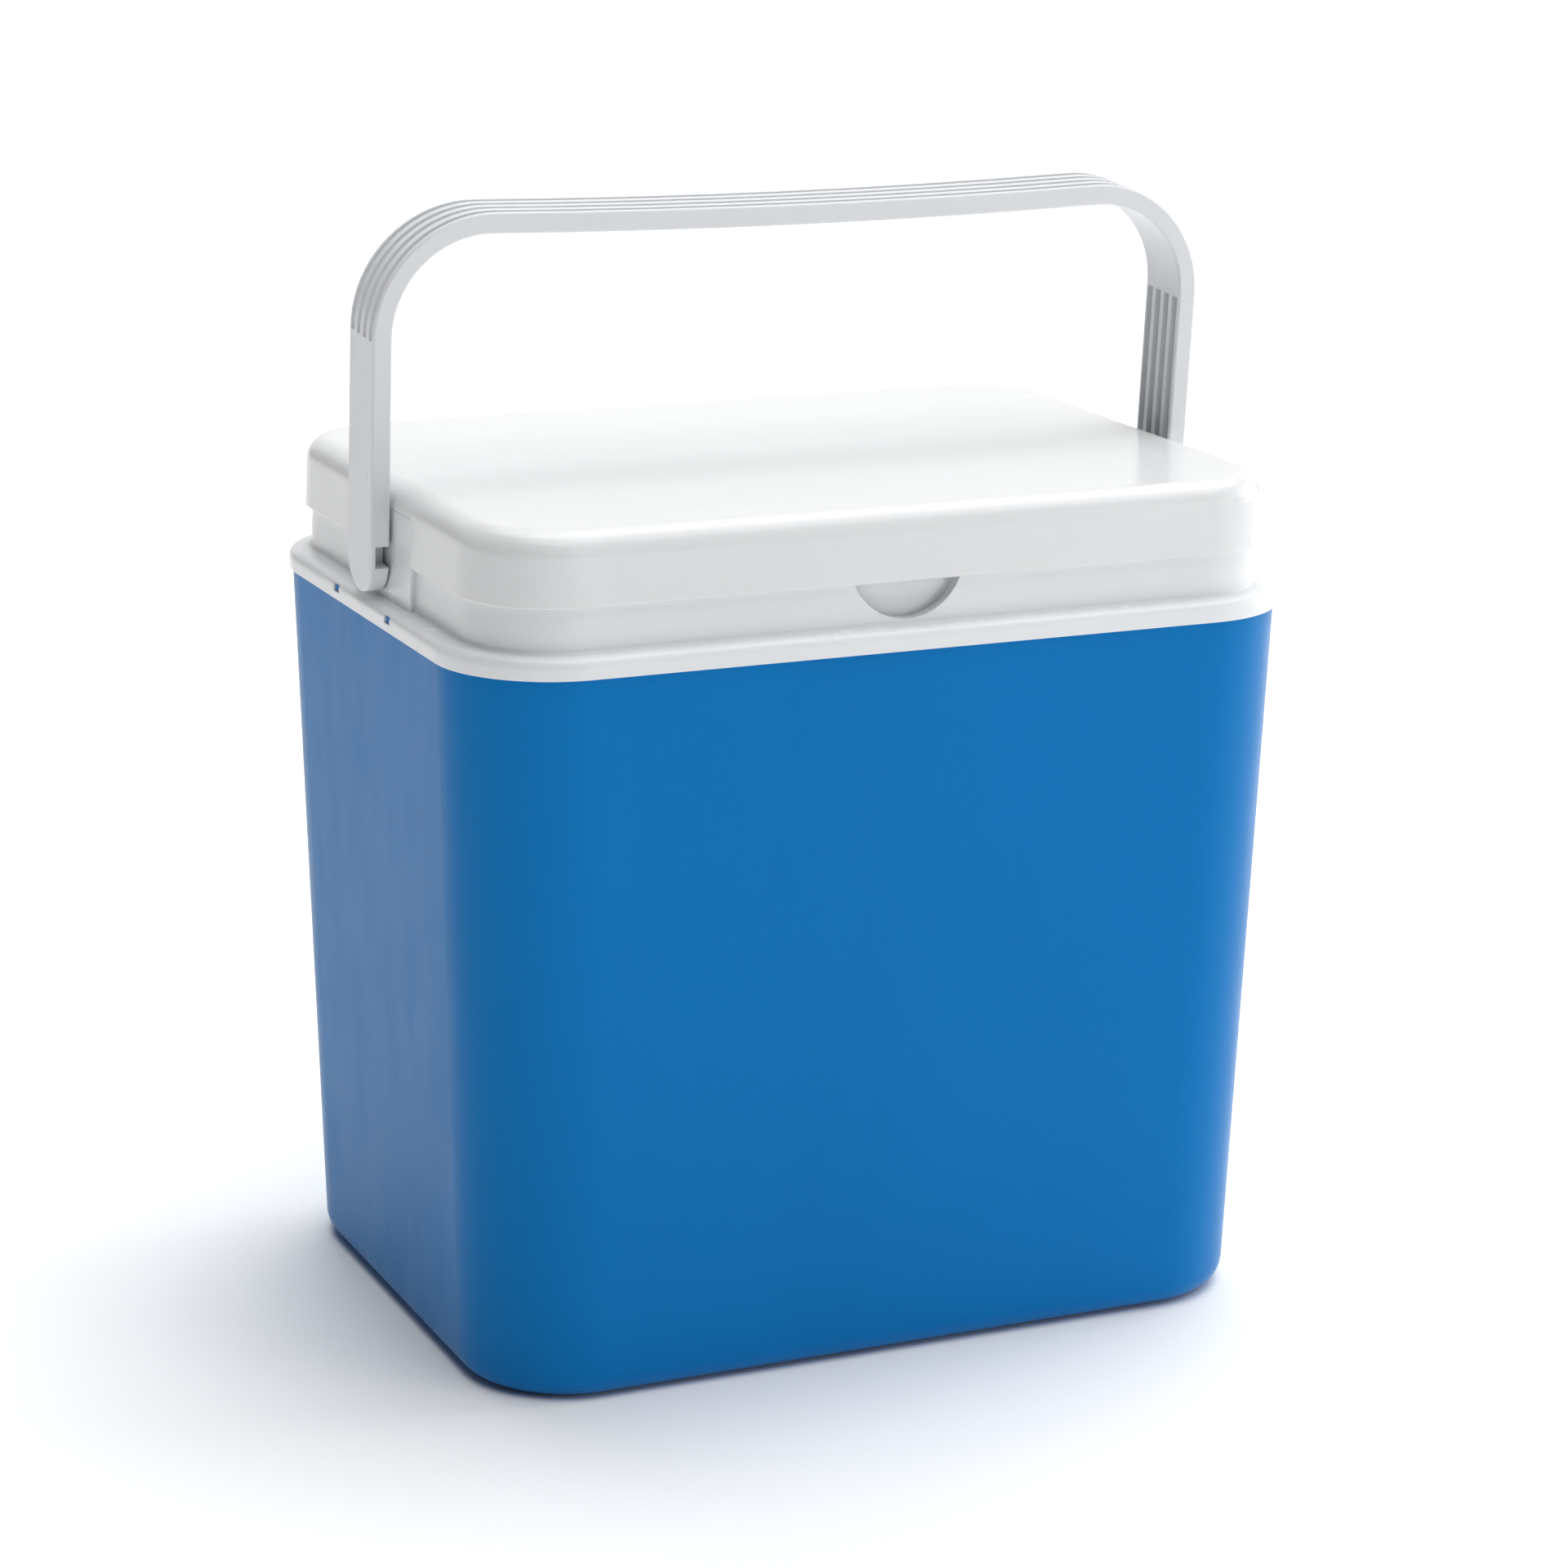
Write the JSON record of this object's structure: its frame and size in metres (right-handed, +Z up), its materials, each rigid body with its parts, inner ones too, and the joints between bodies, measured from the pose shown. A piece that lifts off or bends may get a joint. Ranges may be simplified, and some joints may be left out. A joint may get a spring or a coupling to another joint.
{
  "type": "cooler chest",
  "caption": "Upright hard-sided passive cooler chest with a lift-off lid, a foam-filled wall, a collar round the rim and a swinging strap handle over the top.",
  "frame": {"origin": "middle of the face that the chest stands on, on the floor", "axes": "+X to the chest's right seen from the front, along its width and the handle's pivot axis; the front, with the finger recess, faces -Y; +Z up, through the lid"},
  "size_m": [0.4018, 0.2936, 0.5066],
  "materials": {
    "shell": "satin",
    "liner": "gloss",
    "lid": "gloss",
    "handle": "satin",
    "pin": "satin",
    "foam": "matte",
    "seal": "matte"
  },
  "bodies": {
    "chest": {"outer_shell": "shell", "inner_liner": "liner", "insulation_floor": "foam", "insulation_front": "foam", "insulation_back": "foam", "insulation_left": "foam", "insulation_right": "foam", "pivot_pin_left": "pin", "pivot_pin_right": "pin"},
    "lid": {"lid_cap": "lid", "lid_pan": "lid", "lid_insulation": "foam", "lid_seal": "seal"},
    "handle": {"handle": "handle"}
  },
  "joints": [
    {"name": "handle_swing", "type": "hinge", "parent": "chest", "child": "handle", "pos_m": [0, 0, 0.3536], "axis": [1, 0, 0], "range_deg": [-94.2, 85.8]},
    {"name": "lid_lift", "type": "slide", "parent": "chest", "child": "lid", "axis": [0, 0, 1], "range_m": [0, 0.085]}
  ]
}
